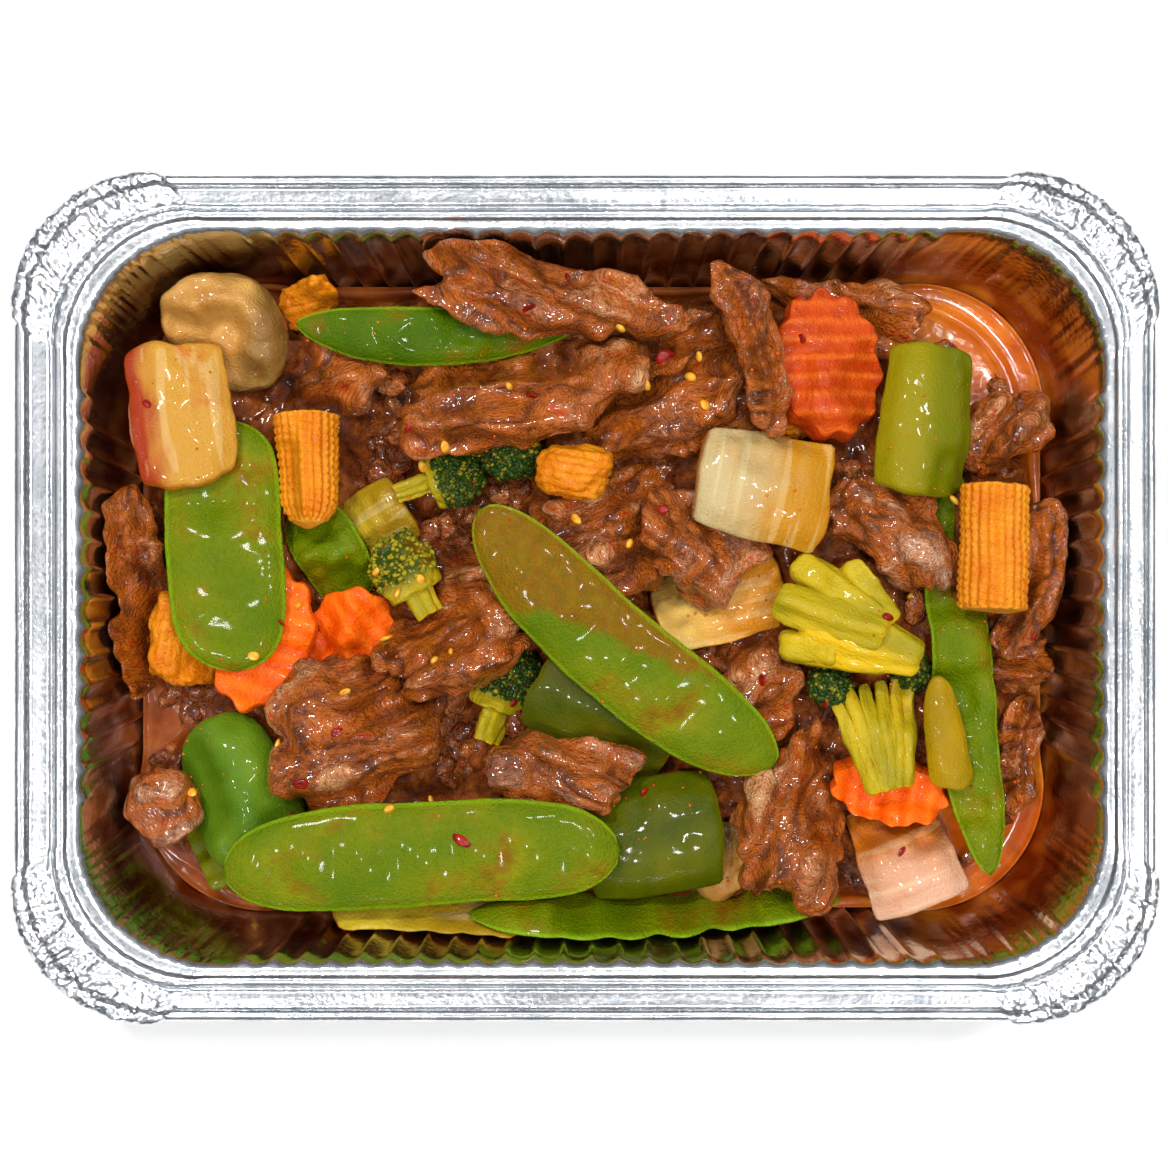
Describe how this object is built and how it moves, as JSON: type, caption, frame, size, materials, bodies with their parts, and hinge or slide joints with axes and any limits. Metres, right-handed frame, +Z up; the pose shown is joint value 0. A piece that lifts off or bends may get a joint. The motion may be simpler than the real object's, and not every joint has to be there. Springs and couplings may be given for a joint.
{
  "type": "foil tray meal",
  "caption": "Oblong aluminium foil takeaway tray with rolled rim and fluted walls, holding beef stir-fry with vegetables in brown sauce.",
  "frame": {"origin": "middle of the tray's flat underside", "axes": "+X along the tray's length, +Y across its width, +Z up out of the tray"},
  "size_m": [0.215, 0.16, 0.044],
  "materials": {
    "foil": "bright crumpled aluminium foil, mirror-like in the walls",
    "sauce": "wet glossy brown sauce",
    "beef": "cooked beef coated in sauce, glossy",
    "snow_pea": "bright green skin, glossy",
    "green_pepper": "glossy green pepper skin",
    "baby_corn": "yellow kernels, satin",
    "carrot": "orange cut carrot, wet satin",
    "onion": "pale translucent onion, glossy",
    "mushroom": "tan mushroom, wet",
    "broccoli": "yellow-green stalk and dark green florets"
  },
  "bodies": {
    "root": {"tray": "foil", "sauce": "sauce", "onion_left": "onion", "pea_long": "snow_pea", "corn_right": "baby_corn", "beef_hook": "beef", "pepper_right": "green_pepper", "onion_top": "onion", "corn_top": "baby_corn", "broccoli_stalk": "broccoli", "pea_middle": "snow_pea", "beef_tray_left": "beef", "mushroom_left": "mushroom", "pea_left": "snow_pea", "beef_top": "beef", "pea_top": "snow_pea", "beef_centre": "beef", "corn_left": "baby_corn", "beef_upper_left": "beef", "corn_wedge": "baby_corn", "carrot_top": "carrot", "corn_middle": "baby_corn", "beef_upper_right": "beef", "beef_side": "beef", "beef_right": "beef", "beef_curl": "beef", "beef_lean": "beef", "beef_middle": "beef", "onion_middle": "onion", "broccoli_upper": "broccoli", "broccoli_dark": "broccoli", "broccoli_crumb": "broccoli", "beef_fold": "beef", "beef_crumple": "beef", "carrot_chip": "carrot", "carrot_left": "carrot", "carrot_bright": "carrot", "pepper_left": "green_pepper", "corn_block": "baby_corn", "beef_wall": "beef", "pea_small": "snow_pea", "onion_chunk": "onion", "pepper_sliver": "green_pepper", "pepper_yellow": "green_pepper", "pea_right": "snow_pea", "broccoli_strands": "broccoli", "carrot_tilted": "carrot", "beef_lower_right": "beef", "onion_pink": "onion", "beef_bend": "beef", "beef_loops": "beef", "beef_arc": "beef", "beef_pink": "beef", "pepper_block": "green_pepper", "pepper_middle": "green_pepper", "broccoli_floret": "broccoli", "beef_under": "beef", "mushroom_right": "mushroom", "pea_edge": "snow_pea", "onion_bottom": "onion"}
  },
  "joints": []
}
